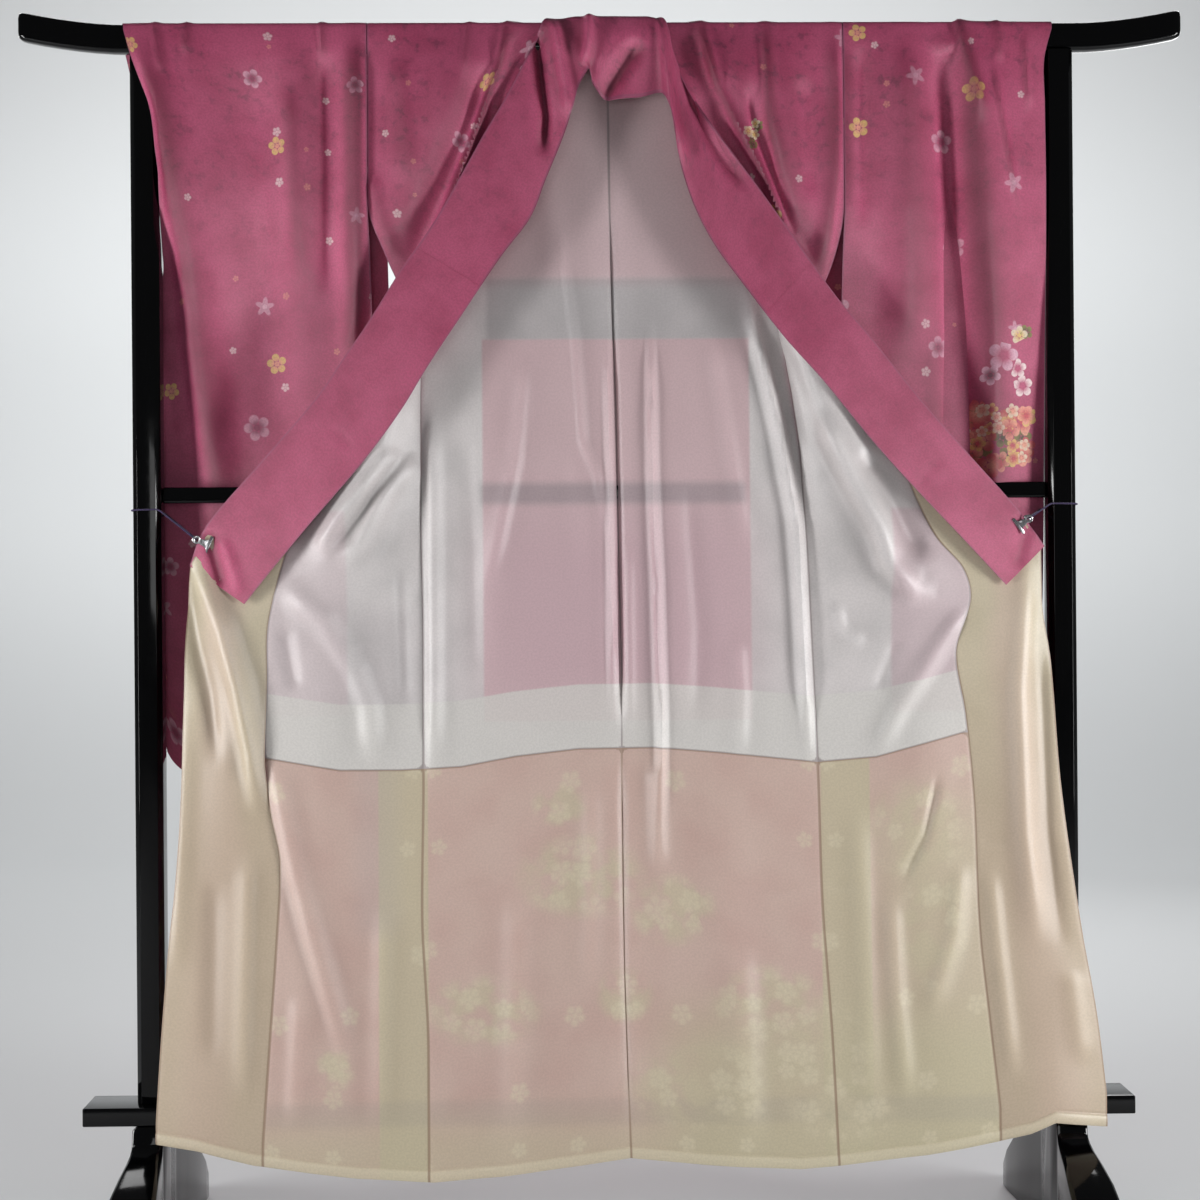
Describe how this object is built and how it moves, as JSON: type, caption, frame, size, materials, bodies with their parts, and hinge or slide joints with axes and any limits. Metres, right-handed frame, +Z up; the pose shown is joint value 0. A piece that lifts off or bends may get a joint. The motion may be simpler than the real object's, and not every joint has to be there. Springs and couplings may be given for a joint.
{
  "type": "silk kimono on a kimono rack",
  "caption": "Long-sleeved silk kimono hung open on a black lacquered wooden rack, fronts turned out over pale linings, collar ends clipped and tied to the posts.",
  "frame": {"origin": "centre of the bounding box, on the floor under the feet", "axes": "+Z up along the posts, +X to the viewer's right along the rail, -Y to the front, where the kimono's linings face"},
  "size_m": [1.67, 0.524, 1.7677],
  "materials": {
    "pink_silk": "soft sheen silk, printed",
    "white_lining": "thin plain silk",
    "cream_lining": "thin plain silk",
    "black_lacquer": "gloss black lacquer over wood",
    "clip_steel": "plain bright",
    "purple_cord": "plain braided cord"
  },
  "bodies": {
    "root": {"body_right": "pink_silk", "body_left": "pink_silk", "okumi_right": "pink_silk", "okumi_left": "pink_silk", "sleeve_right": "pink_silk", "sleeve_left": "pink_silk", "collar": "pink_silk", "over_collar": "pink_silk", "upper_front_lining_right": "white_lining", "upper_front_lining_left": "white_lining", "upper_back_lining_right": "white_lining", "upper_back_lining_left": "white_lining", "lower_front_lining_right": "cream_lining", "lower_front_lining_left": "cream_lining", "lower_back_lining_right": "cream_lining", "lower_back_lining_left": "cream_lining", "okumi_lining_right": "cream_lining", "okumi_lining_left": "cream_lining", "top_rail": "black_lacquer", "mid_rail": "black_lacquer", "low_rail": "black_lacquer", "post_right": "black_lacquer", "post_left": "black_lacquer", "foot_right": "black_lacquer", "foot_left": "black_lacquer", "clip_right": "clip_steel", "clip_left": "clip_steel", "tie_right": "purple_cord", "tie_left": "purple_cord"}
  },
  "joints": []
}
